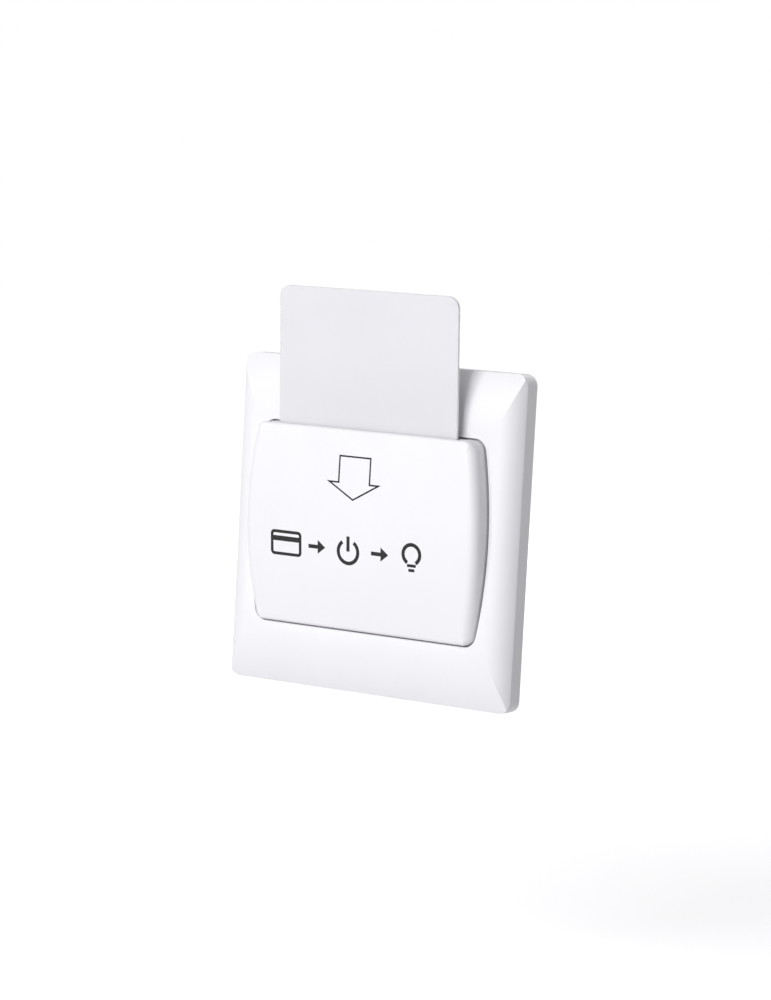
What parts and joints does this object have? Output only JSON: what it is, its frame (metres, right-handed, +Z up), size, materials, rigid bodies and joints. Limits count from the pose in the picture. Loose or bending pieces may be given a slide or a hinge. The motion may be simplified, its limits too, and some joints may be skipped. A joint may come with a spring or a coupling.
{
  "type": "hotel key card switch",
  "caption": "Square wall plate with rolled edges and a barrel-shaped card pocket; a card in its slot pushes a lever that closes a microswitch and switches the room's power by a relay.",
  "frame": {"origin": "middle of the plate on the wall plane, between the two wall screws where they leave the plate", "axes": "+X to the right seen from the front, +Y into the wall along the wall screws, +Z up; the front faces -Y"},
  "size_m": [0.086, 0.0411, 0.1045],
  "materials": {
    "frame_plastic": "satin",
    "cover_plastic": "satin",
    "guide_plastic": "matte",
    "card_plastic": "satin",
    "base_plastic": "matte",
    "screw_steel": "zinc plated",
    "spring_steel": "drawn wire",
    "board_laminate": "solder mask",
    "lever_plastic": "matte",
    "black_plastic": "matte",
    "plunger_plastic": "satin",
    "relay_plastic": "satin",
    "film_plastic": "satin",
    "can_sleeve": "shrink sleeve",
    "varistor_coat": "dipped",
    "resistor_coat": "dipped",
    "terminal_plastic": "matte",
    "clamp_brass": "plated"
  },
  "bodies": {
    "base": {"outer_frame": "frame_plastic", "card_cover": "cover_plastic", "card_guide": "guide_plastic", "guide_screws": "screw_steel", "mounting_plate": "base_plastic", "wall_screws": "screw_steel", "rear_housing": "base_plastic", "housing_screws": "screw_steel", "circuit_board": "board_laminate", "board_screws": "screw_steel", "lever_pin": "screw_steel", "lever_spring": "spring_steel", "microswitch_case": "black_plastic", "power_relay": "relay_plastic", "film_capacitor": "film_plastic", "electrolytic_capacitor": "can_sleeve", "bridge_rectifier": "black_plastic", "varistor": "varistor_coat", "fuse_resistor": "resistor_coat", "controller_chip": "black_plastic", "terminal_block": "terminal_plastic", "terminal_screws": "screw_steel", "terminal_clamps": "clamp_brass"},
    "card": {"key_card": "card_plastic"},
    "lever": {"card_lever": "lever_plastic"},
    "plunger": {"microswitch_plunger": "plunger_plastic"}
  },
  "joints": [
    {"name": "card_slide", "type": "slide", "parent": "base", "child": "card", "axis": [0, -0.0767, 0.9971], "range_m": [0, 0.046]},
    {"name": "lever_swing", "type": "hinge", "parent": "base", "child": "lever", "pos_m": [0, 0.003, -0.0075], "axis": [-1, 0, 0], "range_deg": [0, 5.2]},
    {"name": "plunger_travel", "type": "slide", "parent": "base", "child": "plunger", "axis": [0, -1, 0], "range_m": [0, 0.0006]}
  ],
  "couplings": [
    {"joint": "lever_swing", "follows": "card_slide", "rad_per_m": 1.96},
    {"joint": "plunger_travel", "follows": "card_slide", "ratio": 0.013}
  ]
}
